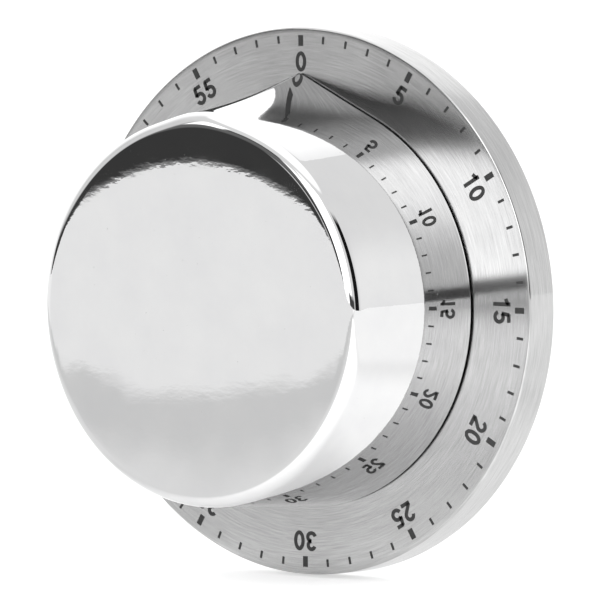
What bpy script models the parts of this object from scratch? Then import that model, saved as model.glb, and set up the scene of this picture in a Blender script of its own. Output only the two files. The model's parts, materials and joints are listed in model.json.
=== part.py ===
"""A 60-minute mechanical kitchen timer: steel dial, chrome pointer knob, magnetic back, bell movement.

Sizes are in millimetres and the objects are built in metres. Every piece is modelled in one frame,
x to the right, y up the dial and z forward out of the back, and the root empty stands that frame upright, so
that the dial faces -Y. Clock angles are degrees clockwise from the 0 of the dial.
"""

import math

import bmesh
import bpy
from mathutils import Matrix, Vector

MM = 0.001

# Case
CASE_RADIUS = 40.0
DIAL_DEPTH = 6.7  # the dial face, in front of the back
SHEET = 0.6
BEZEL_BACK = 1.02
BEZEL_WALL = 0.8
BEZEL_TAPER = 0.12  # how far the side leans in at the front
BEZEL_EDGE = 0.6  # radius of the rounded edge
BEZEL_FILLET = 0.35
BEZEL_HOLE_RADIUS = 26.0

# Dial graduations, etched
TICK_OUTER = 38.7
MINOR_TICK = (0.4, 1.1)  # width, length
MAJOR_TICK = (0.86, 1.58)
TICK_DEPTH = 0.1

# Inner housing
HOUSING_RADIUS = 39.0
HOUSING_RIM = 0.8
HOUSING_BACK = 1.7
HOUSING_FLOOR = (5.0, 6.0)
HOUSING_CHAMFER = 0.4
DRUM_RADIUS = 25.0
DRUM_WALL = 1.4
DRUM_FRONT = 26.2
DRUM_HOLE_RADIUS = 2.2
BOSS_RADIUS, BOSS_BACK = 2.7, 1.9
PILOT_RADIUS, PILOT_FRONT = 1.35, 4.8

# Back cover
COVER_RADIUS = 38.9
COVER_THICKNESS = 1.6
COVER_CHAMFER = 0.3
COUNTERBORE = (2.8, 1.1)  # radius, depth
COVER_SCREW_HOLE = 1.5
COVER_SCREW_CIRCLE = 31.5
COVER_SCREW_CLOCKS = (60, 180, 300)
SOUND_SLOTS = 8
SOUND_SLOT = (6.5, 1.6)  # length, width
SOUND_SLOT_CIRCLE = 11.0

# Magnets and their cups
MAGNET_RADIUS = 6.0
MAGNET = (0.1, 2.6)  # back, front
MAGNET_CHAMFER = 0.3
MAGNET_CIRCLE = 30.0
MAGNET_CLOCKS = (0, 120, 240)
CUP_RADIUS = 7.3
CUP = (0.8, 3.8)
POCKET_RADIUS, POCKET_FRONT = 6.2, 2.9

# Knob
KNOB_GAP = 0.4
KNOB_BASE_RADIUS = 29.9
KNOB_TOP_RADIUS = 27.9
KNOB_TOP_HEIGHT = 24.1  # where the rounded rim starts, above the dial
KNOB_RIM = 2.0
KNOB_DOME = 0.4
KNOB_WALL = 1.3
POINTER_TIP_RADIUS = 33.45  # the pointer's ridge, at the dial
POINTER_TOP_RADIUS = 28.45  # and where the rim starts
POINTER_EASE = 1.4
POINTER_SPAN = 27  # degrees each side of 0 that get finer steps
KNOB_CAVITY_TOP_RADIUS = 26.1
KNOB_CAVITY_FRONT = 30.8
HUB_RADIUS = 25.8
HUB_PLATE = (29.3, 30.5)
HUB_BOSS_RADIUS, HUB_BOSS_BACK = 5.0, 26.9

# Movement plates, pillars and pivots
REAR_PLATE = (9.4, 10.2)
FRONT_PLATE = (20.6, 21.4)
PLATE_RADIUS = 22.7
SCALLOP_CLOCKS = (20, 272)
SCALLOP_HALF_WIDTH, SCALLOP_DEPTH = 16, 2.0  # degrees, millimetres
PILLAR_CIRCLE = 20.3
PILLAR_CLOCKS = (62.0, 223.0, 322.0)
PILLAR_RADIUS, PILLAR_FOOT_RADIUS, PILLAR_HEAD_RADIUS = 1.8, 1.0, 1.2
PILLAR_HEAD_FRONT = 22.9
NUT_RADIUS = 2.3
FIT = 0.1  # running clearance round a pivot
REST_GAP = 0.1  # between two pieces that rest on each other
PLAY = 0.2  # between a pinion and the plate next to it
PIVOT_RADIUS = 0.5
THROUGH = 1.0  # how far a cutter passes the surfaces it opens

# Main arbor and the D that the knob and the cam sit on
MAIN_RADIUS, MAIN_PIVOT_RADIUS, SPRING_CORE_RADIUS = 1.5, 1.0, 2.4
MAIN_FLAT = 1.0
D_BORE = (MAIN_RADIUS + FIT, MAIN_FLAT + FIT)
D_SHAFT = (21.8, 30.2)

# Gears
WHEEL_TEETH, LEAVES = 48, 8
GREAT_MODULE, SECOND_MODULE, THIRD_MODULE = 0.475, 0.34, 0.28
ADDENDUM, DEDENDUM = 0.8, 1.2  # in modules
LEAF_ADDENDUM, LEAF_DEDENDUM = 0.55, 1.15
GREAT_RIM, SMALL_RIM = 1.4, 1.3  # from the roots of the teeth to the windows
GREAT_HUB, SECOND_HUB, THIRD_HUB = 6.0, 2.4, 2.2
GREAT_SPOKE, SMALL_SPOKE = 1.6, 1.2
ESCAPE_TEETH, ESCAPE_RADIUS, ESCAPE_ROOT = 15, 4.9, 3.5
STAR_TEETH, STAR_RADIUS, STAR_ROOT = 10, 4.5, 3.0
BALANCE_RADIUS, BALANCE_HUB, BALANCE_RIM, BALANCE_SPOKE = 4.5, 1.6, 0.9, 1.0

# The wheels' places along the axis, back and front
ALARM_WHEEL = (10.5, 11.3)
ESCAPE_WHEEL = (12.5, 13.3)
GREAT_WHEEL = (15.6, 16.4)
BALANCE_WHEEL = (16.2, 17.2)
CLUTCH_WASHER = (16.5, 17.3)
SECOND_WHEEL = (17.6, 18.2)
STRIKE_WHEEL = (17.6, 18.4)
THIRD_WHEEL = (19.0, 19.6)
PINION_OVERLAP = 0.3  # how far a pinion passes its wheel at each side
PALLET_OVERLAP = 0.2
CLUTCH_RADIUS = 5.0

# Arbor places: distance of each arbor from the centre
SECOND_CLOCK = 100.0
STRIKE_CLOCK = 280.0
THIRD_FROM_CENTRE = 14.5
ESCAPE_FROM_CENTRE = 17.4
VERGE_FROM_CENTRE = 17.0
HAMMER_FROM_CENTRE = 18.0
VERGE_REACH = 7.2  # escape arbor to verge arbor
HAMMER_REACH = 6.7  # strike arbor to hammer arbor
VERGE_CLEARANCE, VERGE_SPREAD = 0.55, 50
HAMMER_CLEARANCE, HAMMER_SPREAD = 0.6, 46
PALLET_THICKNESS = 0.9
VERGE_HUB_RADIUS = 1.3

# Mainspring and its post
SPRING = (11.7, 15.2)
SPRING_THICKNESS = 0.25
SPRING_TURNS = 5
SPRING_INNER, SPRING_OUTER = 2.75, 8.45
SPRING_POST = (11.4, 15.4)
SPRING_POST_CIRCLE = 9.9
SPRING_POST_CLOCK = 20.0
SPRING_POST_RADIUS = 0.6
SPRING_EYE_RADIUS = 0.95

# Bell and its post
BELL = (2.9, 8.0)
BELL_RADIUS = 19.5
BELL_CROWN_RADIUS = 14.0  # where the flat crown ends
BELL_WALL = 0.8
BELL_CURVE = 2.1  # how far forward the shoulder runs
BELL_HOLE_RADIUS = 1.4
BELL_POST_RADIUS, BELL_SOCKET_DEPTH = 3.0, 0.8

# Hammer
HAMMER_ARM = (8.4, 9.2)
HAMMER_ARM_WIDTH = 2.4
HAMMER_ARBOR_BACK = 8.3
HAMMER_HEAD_CLOCK = 250.0
HAMMER_HEAD_CIRCLE = 16.2
HAMMER_HEAD = (5.6, 8.2)
HAMMER_HEAD_RADIUS = 1.5
HAMMER_HEAD_CHAMFER = 0.3

# Stop, release cam and lever
STOP_CIRCLE = 7.4
STOP_MARGIN = 6.0  # degrees between pin and stud at each end of the knob's turn
STOP_RADIUS = 0.35
CAM_RADIUS = 8.2
CAM = (22.4, 23.2)
NOTCH_DEPTH = 1.4
LEVER_STUD_CLOCK, LEVER_STUD_CIRCLE = 250.0, 17.0
LEVER_STUD_RADIUS, LEVER_PIVOT_RADIUS = 0.8, 0.7
LEVER_TIP_CLOCK = 290.0
LEVER_CLEARANCE = 0.75
LEVER_BOSS_RADIUS, LEVER_NOSE_RADIUS = 1.7, 0.45
LEVER_TAIL_LENGTH, LEVER_TAIL_HALF_WIDTH = 4.0, 0.7

# Screws: head radius, shank radius, and the head's chamfer and cross recess
COVER_SCREW = (2.5, 1.2)
MOVEMENT_SCREW = (2.2, 1.1)
BELL_SCREW = (3.0, 0.9)
HEAD_CHAMFER = 0.3
CROSS_REACH, CROSS_HALF_WIDTH = 0.62, 0.14  # in head radii
CROSS_DEPTH = 0.45


# ---- Places and outlines ----


def polar(radius, clock):
    """The point at this distance from the centre and clock angle."""
    angle = math.radians(clock)
    return Vector((radius * math.sin(angle), radius * math.cos(angle)))


def clock_of(spot):
    return math.degrees(math.atan2(spot.x, spot.y))


def meshed_place(first, distance, from_centre):
    """The place this far from the centre and from a first arbor, on its clockwise side."""
    near = first.length
    cosine = (near**2 + from_centre**2 - distance**2) / (2 * near * from_centre)
    return polar(from_centre, clock_of(first) + math.degrees(math.acos(cosine)))


def circle(radius, count=24, centre=(0, 0)):
    return arc(radius, 0, 360 * (1 - 1 / count), count, centre)


def bore(radius, count=8, centre=(0, 0)):
    """A hole whose flats, not its corners, lie on this radius."""
    return circle(radius / math.cos(math.pi / count), count, centre)


def arc(radius, start, end, count, centre=(0, 0)):
    """Points from one clock angle to another, both included."""
    middle = Vector(centre)
    return [middle + polar(radius, start + (end - start) * i / (count - 1)) for i in range(count)]


def toothed(teeth, root, tip, root_share, tip_share, clock=0.0):
    """A wheel with straight-sided teeth, one centred on this clock angle; a tip share of 0 points them."""
    points = []
    pitch = 360 / teeth
    top = [(tip, -tip_share), (tip, tip_share)] if tip_share else [(tip, 0)]
    for tooth in range(teeth):
        for radius, share in ((root, -root_share), *top, (root, root_share)):
            points.append(polar(radius, clock + (tooth + share / 2) * pitch))
    return points


def wheel_outline(module, clock):
    pitch_radius = WHEEL_TEETH * module / 2
    root = pitch_radius - DEDENDUM * module
    return toothed(WHEEL_TEETH, root, pitch_radius + ADDENDUM * module, 0.8, 0, clock)


def pinion_outline(module, clock):
    """Leaves with a gap, not a leaf, centred on this clock angle."""
    pitch_radius = LEAVES * module / 2
    root = pitch_radius - LEAF_DEDENDUM * module
    tip = pitch_radius + LEAF_ADDENDUM * module
    return toothed(LEAVES, root, tip, 0.42, 0.24, clock + 180 / LEAVES)


def windows(count, inner, outer, spoke, clock=0.0):
    """The openings between the spokes of a wheel."""
    openings = []
    for i in range(count):
        start = clock + i * 360 / count
        end = start + 360 / count
        inset_outer = math.degrees(spoke / 2 / outer)
        inset_inner = math.degrees(spoke / 2 / inner)
        rim = arc(outer, start + inset_outer, end - inset_outer, 5)
        hub = arc(inner, end - inset_inner, start + inset_inner, 3)
        openings.append(rim + hub)
    return openings


def wheel_mesh(module, clock, layer, hole, spokes, hub, rim, spoke):
    """A spoked wheel whose rim is this wide inside the roots of its teeth."""
    root = (WHEEL_TEETH / 2 - DEDENDUM) * module
    return plate(wheel_outline(module, clock), *layer, [hole, *windows(spokes, hub, root - rim, spoke)])


def slot(length, width, centre=(0, 0), clock=0.0, count=4):
    """A rounded slot that runs along this clock angle."""
    along = polar((length - width) / 2, clock)
    middle = Vector(centre)
    far = arc(width / 2, clock - 90, clock + 90, count, middle + along)
    near = arc(width / 2, clock + 90, clock + 270, count, middle - along)
    return far + near


def same_angles(outline, radius):
    """A circle with its points at the angles of another outline's points."""
    return [point.normalized() * radius for point in outline]


def flatted(radius, flat, count=24):
    """A circle with its side toward 3 o'clock cut to a flat, for a D-shaped shaft or bore."""
    return [Vector((min(point.x, flat), point.y)) for point in circle(radius, count)]


def anchor_outline(reach, clear_radius, spread, clock):
    """A verge about its own arbor: a hub and two pallets that clear a wheel this far off."""
    wheel = Vector((0, reach))
    inner = [wheel + polar(clear_radius, 180 + spread * (1 - 2 * i / 8)) for i in range(9)]
    outer = clear_radius + PALLET_THICKNESS
    heel, toe = (wheel + polar(outer, 180 + side * (spread + 8)) for side in (1, -1))
    back = arc(VERGE_HUB_RADIUS, 60, 300, 9)
    points = [toe, *back, heel, *inner]
    turn = Matrix.Rotation(-math.radians(clock), 2)
    return [turn @ point for point in points]


# ---- Meshes ----


def finished(bm, name):
    """Turns the faces outward, writes the mesh and frees the bmesh."""
    bmesh.ops.recalc_face_normals(bm, faces=bm.faces)
    if bm.calc_volume(signed=True) < 0:
        bmesh.ops.reverse_faces(bm, faces=bm.faces)
    mesh = bpy.data.meshes.new(name)
    bm.to_mesh(mesh)
    bm.free()
    return mesh


def turned(profile, steps=32):
    """A body of revolution: a closed profile of (radius, depth) points, spun round the local z axis."""
    bm = bmesh.new()
    points = [bm.verts.new((radius * MM, 0, depth * MM)) for radius, depth in profile]
    for first, second in zip(points, points[1:] + points[:1]):
        bm.edges.new((first, second))
    loop = list(bm.verts) + list(bm.edges)
    bmesh.ops.spin(bm, geom=loop, axis=(0, 0, 1), cent=(0, 0, 0), angle=math.tau, steps=steps)
    bmesh.ops.remove_doubles(bm, verts=bm.verts, dist=0.0005 * MM)
    return finished(bm, "turned")


def plate(outline, back, front, holes=()):
    """A flat piece: an outline with holes, extruded from one depth to another."""
    bm = bmesh.new()
    for points in (outline, *holes):
        verts = [bm.verts.new((point.x * MM, point.y * MM, back * MM)) for point in points]
        for first, second in zip(verts, verts[1:] + verts[:1]):
            bm.edges.new((first, second))
    bmesh.ops.triangle_fill(bm, edges=bm.edges, use_beauty=True, use_dissolve=False)
    sheet = bmesh.ops.extrude_face_region(bm, geom=bm.faces[:])
    lifted = [item for item in sheet["geom"] if isinstance(item, bmesh.types.BMVert)]
    bmesh.ops.translate(bm, verts=lifted, vec=(0, 0, (front - back) * MM))
    return finished(bm, "plate")


def stacked(rings):
    """A body through rings of (points, depth); None for the points is the axis itself.

    It closes from the last ring to the first, so a bored body starts and ends at its bore.
    """
    bm = bmesh.new()
    loops = []
    for points, depth in rings:
        loops.append([bm.verts.new((x * MM, y * MM, depth * MM)) for x, y in points or [(0, 0)]])
    for first, second in zip(loops, loops[1:] + loops[:1]):
        around = max(len(first), len(second))
        for i in range(around if around > 1 else 0):
            j = (i + 1) % around
            corners = (
                first[i % len(first)],
                first[j % len(first)],
                second[j % len(second)],
                second[i % len(second)],
            )
            bm.faces.new(dict.fromkeys(corners))
    return finished(bm, "stacked")


def shaft(sections, angles):
    """An arbor from its sections, each (radius or outline, back, front), with points at these angles."""
    rings = [(None, sections[0][1])]
    for shape, back, front in sections:
        outline = same_angles(angles, shape) if isinstance(shape, float) else shape
        rings += [(outline, back), (outline, front)]
    rings.append((None, sections[-1][2]))
    return stacked(rings)


def gathered(meshes):
    """Several meshes as one."""
    bm = bmesh.new()
    for mesh in meshes:
        bm.from_mesh(mesh)
    return finished(bm, "gathered")


def moved(mesh, spot, clock=0.0):
    """A copy of a mesh, turned clockwise and then shifted across the dial plane."""
    copy = mesh.copy()
    shift = Matrix.Translation((spot[0] * MM, spot[1] * MM, 0))
    copy.transform(shift @ Matrix.Rotation(-math.radians(clock), 4, "Z"))
    return copy


def combined(mesh, tool, operation):
    """The mesh after a Boolean with another mesh: DIFFERENCE or UNION."""
    body, other = (bpy.data.objects.new("boolean_work", each) for each in (mesh, tool))
    for each in (body, other):
        bpy.context.scene.collection.objects.link(each)
    modifier = body.modifiers.new("boolean", "BOOLEAN")
    modifier.solver = "EXACT"
    modifier.operation = operation
    modifier.object = other
    graph = bpy.context.evaluated_depsgraph_get()
    result = bpy.data.meshes.new_from_object(body.evaluated_get(graph))
    for each in (body, other):
        bpy.data.objects.remove(each)
    return result


# ---- Materials and placing ----


def material(name, color, metallic, roughness):
    made = bpy.data.materials.new(name)
    made.use_nodes = True
    shader = made.node_tree.nodes["Principled BSDF"]
    shader.inputs["Base Color"].default_value = (*color, 1)
    shader.inputs["Metallic"].default_value = metallic
    shader.inputs["Roughness"].default_value = roughness
    return made


def piece(name, mesh, look, spot=(0, 0), turn=0.0, parent=None):
    """One named object, with its origin on its own axis."""
    obj = bpy.data.objects.new(name, mesh)
    obj.data.materials.clear()
    obj.data.materials.append(look)
    mesh.shade_smooth()
    mesh.set_sharp_from_angle(angle=math.radians(30))
    obj.location = (spot[0] * MM, spot[1] * MM, 0)
    obj.rotation_euler = (0, 0, -math.radians(turn))
    obj.parent = parent
    bpy.context.scene.collection.objects.link(obj)
    return obj


# ---- Case ----


def bezel_mesh():
    """The pan-shaped steel dial, open in the middle, with its graduations etched into the face."""
    front, radius = DIAL_DEPTH, CASE_RADIUS
    inner = radius - BEZEL_WALL
    under = front - SHEET
    edge = Vector((radius - BEZEL_TAPER - BEZEL_EDGE, front - BEZEL_EDGE))
    profile = [
        (inner, BEZEL_BACK),
        (radius, BEZEL_BACK),
        *(edge + polar(BEZEL_EDGE, clock) for clock in (90, 45, 0)),
        (BEZEL_HOLE_RADIUS, front),
        (BEZEL_HOLE_RADIUS, under),
        (inner - BEZEL_FILLET, under),
        (inner, under - BEZEL_FILLET),
    ]
    ticks = []
    for minute in range(60):
        width, length = MINOR_TICK if minute % 5 else MAJOR_TICK
        corners = [(-width / 2, -length), (-width / 2, 0), (width / 2, 0), (width / 2, -length)]
        outline = [Vector((x, TICK_OUTER + y)) for x, y in corners]
        bar = plate(outline, front - TICK_DEPTH, front + THROUGH)
        ticks.append(moved(bar, (0, 0), minute * 6))
    return combined(turned(profile, 60), gathered(ticks), "DIFFERENCE")


def housing_mesh(screw_spots):
    """The plastic inner case: a rim, a floor under the dial and the drum that holds the movement."""
    rim = HOUSING_RADIUS - HOUSING_RIM
    under, floor = HOUSING_FLOOR
    inner_drum = DRUM_RADIUS - DRUM_WALL
    drum_under = DRUM_FRONT - DRUM_WALL
    profile = [
        (rim, HOUSING_BACK),
        (HOUSING_RADIUS, HOUSING_BACK),
        (HOUSING_RADIUS, floor - HOUSING_CHAMFER),
        (HOUSING_RADIUS - HOUSING_CHAMFER, floor),
        (DRUM_RADIUS, floor),
        (DRUM_RADIUS, DRUM_FRONT - HOUSING_CHAMFER),
        (DRUM_RADIUS - HOUSING_CHAMFER, DRUM_FRONT),
        (DRUM_HOLE_RADIUS, DRUM_FRONT),
        (DRUM_HOLE_RADIUS, drum_under),
        (inner_drum, drum_under),
        (inner_drum, under),
        (rim, under),
    ]
    into_floor = (under + floor) / 2
    boss_profile = [
        (0, into_floor),
        (0, PILOT_FRONT),
        (PILOT_RADIUS, PILOT_FRONT),
        (PILOT_RADIUS, BOSS_BACK),
        (BOSS_RADIUS, BOSS_BACK),
        (BOSS_RADIUS, into_floor),
    ]
    boss = turned(boss_profile, 12)
    bosses = gathered([moved(boss, spot) for spot in screw_spots])
    drill = plate(bore(MOVEMENT_SCREW[1] + FIT), drum_under - THROUGH, DRUM_FRONT + THROUGH)
    holes = gathered([moved(drill, polar(PILLAR_CIRCLE, clock)) for clock in PILLAR_CLOCKS])
    body = combined(turned(profile, 40), bosses, "UNION")
    return combined(body, holes, "DIFFERENCE")


def cover_mesh(magnet_spots, screw_spots):
    """The flat back, with magnet cups, screw counterbores and sound slots behind the bell."""
    face = COVER_THICKNESS
    edge = [(COVER_RADIUS - COVER_CHAMFER, 0), (COVER_RADIUS, COVER_CHAMFER), (COVER_RADIUS, face)]
    disc = turned([(0, 0), *edge, (0, face)], 48)
    cup = plate(circle(CUP_RADIUS), *CUP)
    pocket = plate(circle(POCKET_RADIUS), -THROUGH, POCKET_FRONT)
    wide, depth = COUNTERBORE
    narrow = COVER_SCREW_HOLE
    before, past = -THROUGH, face + THROUGH
    drill_profile = [(0, before), (wide, before), (wide, depth), (narrow, depth), (narrow, past), (0, past)]
    drill = turned(drill_profile, 12)
    openings = []
    for i in range(SOUND_SLOTS):
        clock = i * 360 / SOUND_SLOTS
        outline = slot(*SOUND_SLOT, polar(SOUND_SLOT_CIRCLE, clock), clock)
        openings.append(plate(outline, before, past))
    body = combined(disc, gathered([moved(cup, spot) for spot in magnet_spots]), "UNION")
    openings += [moved(pocket, spot) for spot in magnet_spots]
    openings += [moved(drill, spot) for spot in screw_spots]
    return combined(body, gathered(openings), "DIFFERENCE")


def magnet_mesh():
    """A disc magnet, chamfered round its outer face."""
    back, front = MAGNET
    edge = [(MAGNET_RADIUS - MAGNET_CHAMFER, back), (MAGNET_RADIUS, back + MAGNET_CHAMFER)]
    return turned([(0, back), *edge, (MAGNET_RADIUS, front), (0, front)], 24)


def screw_mesh(radii, head_base, head_top, shank_end):
    """A cross-head screw; the head points forward when its top is in front of its base."""
    head_radius, shank_radius = radii
    side = 1 if head_top > head_base else -1
    profile = [
        (0, shank_end),
        (shank_radius, shank_end),
        (shank_radius, head_base),
        (head_radius, head_base),
        (head_radius, head_top - HEAD_CHAMFER * side),
        (head_radius - HEAD_CHAMFER, head_top),
        (0, head_top),
    ]
    arm, half = CROSS_REACH * head_radius, CROSS_HALF_WIDTH * head_radius
    quarter = [Vector((half, half)), Vector((half, arm)), Vector((-half, arm))]
    cross = [Matrix.Rotation(i * math.pi / 2, 2) @ point for i in range(4) for point in quarter]
    recess = plate(cross, *sorted((head_top - CROSS_DEPTH * side, head_top + THROUGH * side)))
    return combined(turned(profile, 12), recess, "DIFFERENCE")


# ---- Knob ----


def pointer_radius(height):
    """The distance of the pointer's ridge from the axis at this height above the dial."""
    left = 1 - height / KNOB_TOP_HEIGHT
    return POINTER_TOP_RADIUS + (POINTER_TIP_RADIUS - POINTER_TOP_RADIUS) * left**POINTER_EASE


def knob_outline(height, angles):
    """A circle with two tangents that meet in the pointer at 0."""
    side = KNOB_BASE_RADIUS + (KNOB_TOP_RADIUS - KNOB_BASE_RADIUS) * height / KNOB_TOP_HEIGHT
    reach = math.acos(side / pointer_radius(height))
    points = []
    for clock in angles:
        off = abs(math.radians(clock))
        points.append(polar(side / math.cos(max(0.0, reach - off)), clock))
    return points


def knob_mesh():
    """The hollow knob: a pointer skirt that rises to a round rim and a slightly domed face."""
    angles = sorted({*range(-180, 180, 9), *range(-POINTER_SPAN, POINTER_SPAN + 1, 3)})
    foot = same_angles(knob_outline(0, angles), KNOB_BASE_RADIUS - KNOB_WALL)
    rings = [(foot, DIAL_DEPTH + KNOB_GAP)]
    steps = 5
    for step in range(steps + 1):
        height = KNOB_GAP + (KNOB_TOP_HEIGHT - KNOB_GAP) * (step / steps) ** 2
        rings.append((knob_outline(height, angles), DIAL_DEPTH + height))
    rim = knob_outline(KNOB_TOP_HEIGHT, angles)
    for step in range(1, 4):
        turn = step * math.pi / 6
        inset = KNOB_RIM * (1 - math.cos(turn))
        points = [point - point.normalized() * inset for point in rim]
        rings.append((points, DIAL_DEPTH + KNOB_TOP_HEIGHT + KNOB_RIM * math.sin(turn)))
    top = DIAL_DEPTH + KNOB_TOP_HEIGHT + KNOB_RIM
    face = KNOB_TOP_RADIUS - KNOB_RIM
    rings.append((same_angles(rim, face / 2), top + KNOB_DOME * 3 / 4))
    rings.append((None, top + KNOB_DOME))
    rings.append((None, KNOB_CAVITY_FRONT))
    rings.append((same_angles(rim, KNOB_CAVITY_TOP_RADIUS), KNOB_CAVITY_FRONT))
    return stacked(rings)


def hub_mesh():
    """The plate inside the knob, with its D-bored boss."""
    back, front = HUB_PLATE
    around = circle(1, 32)
    hole = flatted(*D_BORE, 32)
    shape = [
        (hole, HUB_BOSS_BACK),
        (same_angles(around, HUB_BOSS_RADIUS), HUB_BOSS_BACK),
        (same_angles(around, HUB_BOSS_RADIUS), back),
        (same_angles(around, HUB_RADIUS), back),
        (same_angles(around, HUB_RADIUS), front),
        (hole, front),
    ]
    return stacked(shape)


# ---- Movement ----


def movement_plate(depths, holes):
    """A round plate with its pivot holes, scalloped between the pillars."""
    outline = []
    for clock in range(0, 360, 8):
        nearest = min(abs((clock - scallop + 180) % 360 - 180) for scallop in SCALLOP_CLOCKS)
        depth = SCALLOP_DEPTH if nearest < SCALLOP_HALF_WIDTH else 0.0
        outline.append(polar(PLATE_RADIUS - depth, clock))
    return plate(outline, *depths, [bore(radius, 8, spot) for radius, spot in holes])


def spring_mesh():
    """The mainspring: a flat spiral round the main arbor, ending in an eye round its post."""
    steps = 14 * SPRING_TURNS
    end = SPRING_POST_CLOCK - 14
    line = []
    for i in range(steps + 1):
        share = i / steps
        radius = SPRING_INNER + (SPRING_OUTER - SPRING_INNER) * share
        line.append(polar(radius, end - 360 * SPRING_TURNS * (1 - share)))
    post = polar(SPRING_POST_CIRCLE, SPRING_POST_CLOCK)
    line += arc(SPRING_EYE_RADIUS, SPRING_POST_CLOCK - 150, SPRING_POST_CLOCK - 400, 9, post)
    half = SPRING_THICKNESS / 2
    left, right = [], []
    for i, point in enumerate(line):
        along = (line[min(i + 1, len(line) - 1)] - line[max(i - 1, 0)]).normalized()
        across = Vector((-along.y, along.x)) * half
        left.append(point + across)
        right.append(point - across)
    return plate(left + right[::-1], *SPRING)


def main_arbor_mesh():
    """The main arbor: a rear pivot, a core inside the spring and a D-shaped front end."""
    core_back, core_front = SPRING[0] - REST_GAP, SPRING[1] + REST_GAP
    shoulder = REAR_PLATE[1] + PLAY
    sections = [
        (MAIN_PIVOT_RADIUS, REAR_PLATE[0] + REST_GAP, shoulder),
        (MAIN_RADIUS, shoulder, core_back),
        (SPRING_CORE_RADIUS, core_back, core_front),
        (MAIN_RADIUS, core_front, D_SHAFT[0]),
        (flatted(MAIN_RADIUS, MAIN_FLAT, 20), *D_SHAFT),
    ]
    return shaft(sections, circle(1, 20))


def arbor_mesh(leaves, wheel):
    """A train arbor, pivoted in both plates, with its pinion beside the wheel that it meshes with."""
    back = max(wheel[0] - PINION_OVERLAP, REAR_PLATE[1] + PLAY)
    front = wheel[1] + PINION_OVERLAP
    rear, end = REAR_PLATE[0], FRONT_PLATE[1]
    return shaft([(PIVOT_RADIUS, rear, back), (leaves, back, front), (PIVOT_RADIUS, front, end)], leaves)


def plain_shaft(radius, back, front):
    return shaft([(radius, back, front)], circle(1, 12))


def verge_mesh(reach, clear_radius, spread, clock, wheel):
    """An anchor with a pivot hole, a little thicker than the wheel it works on."""
    outline = anchor_outline(reach, clear_radius, spread, clock)
    return plate(outline, wheel[0] - PALLET_OVERLAP, wheel[1] + PALLET_OVERLAP, [bore(PIVOT_RADIUS + FIT)])


def pillar_mesh():
    """A turned pillar: a foot in the rear plate, a body between the plates and a head for the nut."""
    body_back, body_front = REAR_PLATE[1] + REST_GAP, FRONT_PLATE[0] - REST_GAP
    sections = [
        (PILLAR_FOOT_RADIUS, REAR_PLATE[0] - REST_GAP, body_back),
        (PILLAR_RADIUS, body_back, body_front),
        (PILLAR_HEAD_RADIUS, body_front, PILLAR_HEAD_FRONT),
    ]
    return shaft(sections, circle(1, 12))


def nut_mesh():
    """The six-sided nut that spaces the movement from the end of the drum."""
    back = FRONT_PLATE[1] + REST_GAP
    front = DRUM_FRONT - DRUM_WALL - 2 * REST_GAP
    return plate(circle(NUT_RADIUS, 6), back, front, [bore(PILLAR_HEAD_RADIUS + FIT)])


def bell_mesh():
    """A shallow steel bell, open to the front, held by its middle."""
    back, front = BELL
    outer, inner = [(BELL_HOLE_RADIUS, back)], [(BELL_HOLE_RADIUS, back + BELL_WALL)]
    for turn in (0, 30, 60, 90):
        across, along = math.sin(math.radians(turn)), 1 - math.cos(math.radians(turn))
        width = (BELL_RADIUS - BELL_CROWN_RADIUS) * across
        outer.append((BELL_CROWN_RADIUS + width, back + BELL_CURVE * along))
        width -= BELL_WALL * across
        inner.append((BELL_CROWN_RADIUS + width, back + BELL_WALL + (BELL_CURVE - BELL_WALL) * along))
    rim = [(BELL_RADIUS, front), (BELL_RADIUS - BELL_WALL, front)]
    return turned(outer + rim + inner[::-1], 32)


def bell_post_mesh():
    """The post between the bell and the rear plate, with a socket for the bell's screw."""
    seat = BELL[0] + BELL_WALL + REST_GAP
    rear, end = BELL_POST_RADIUS, REAR_PLATE[0] - REST_GAP
    socket, depth = BELL_SCREW[1] + FIT, seat + BELL_SOCKET_DEPTH
    return turned([(0, depth), (socket, depth), (socket, seat), (rear, seat), (rear, end), (0, end)], 24)


def hammer_head_mesh():
    """The hammer's head, with the peg that holds it in the arm."""
    back, front = HAMMER_HEAD
    radius, peg, end = HAMMER_HEAD_RADIUS, PIVOT_RADIUS, HAMMER_ARM[1]
    face = [(0, back), (radius - HAMMER_HEAD_CHAMFER, back), (radius, back + HAMMER_HEAD_CHAMFER)]
    return turned([*face, (radius, front), (peg, front), (peg, end), (0, end)], 20)


def cam_mesh():
    """The release cam: a disc with one notch, on the D of the main arbor."""
    notch = (LEVER_TIP_CLOCK - 6, LEVER_TIP_CLOCK + 3)
    rim = arc(CAM_RADIUS, notch[1], notch[0] + 360, 28)
    floor = [polar(CAM_RADIUS - NOTCH_DEPTH, clock) for clock in (notch[0] + 2, notch[1])]
    return plate(rim + floor, *CAM, [flatted(*D_BORE, 20), bore(STOP_RADIUS + FIT, 8, polar(STOP_CIRCLE, 0))])


def lever_mesh(stud, tip):
    """The release lever about its stud, reaching to the rim of the cam."""
    reach = tip - stud
    clock = clock_of(reach)
    nose = arc(LEVER_NOSE_RADIUS, clock - 80, clock + 80, 5, reach - polar(LEVER_NOSE_RADIUS, clock))
    back = arc(LEVER_BOSS_RADIUS, clock + 60, clock + 300, 13)
    middle = polar(LEVER_TAIL_LENGTH, clock + 180)
    tail = [middle + polar(LEVER_TAIL_HALF_WIDTH, clock + side) for side in (90, -90)]
    return plate(back[:6] + tail + back[7:] + nose, *CAM, [bore(LEVER_PIVOT_RADIUS + FIT)])


# ---- The timer ----


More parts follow.
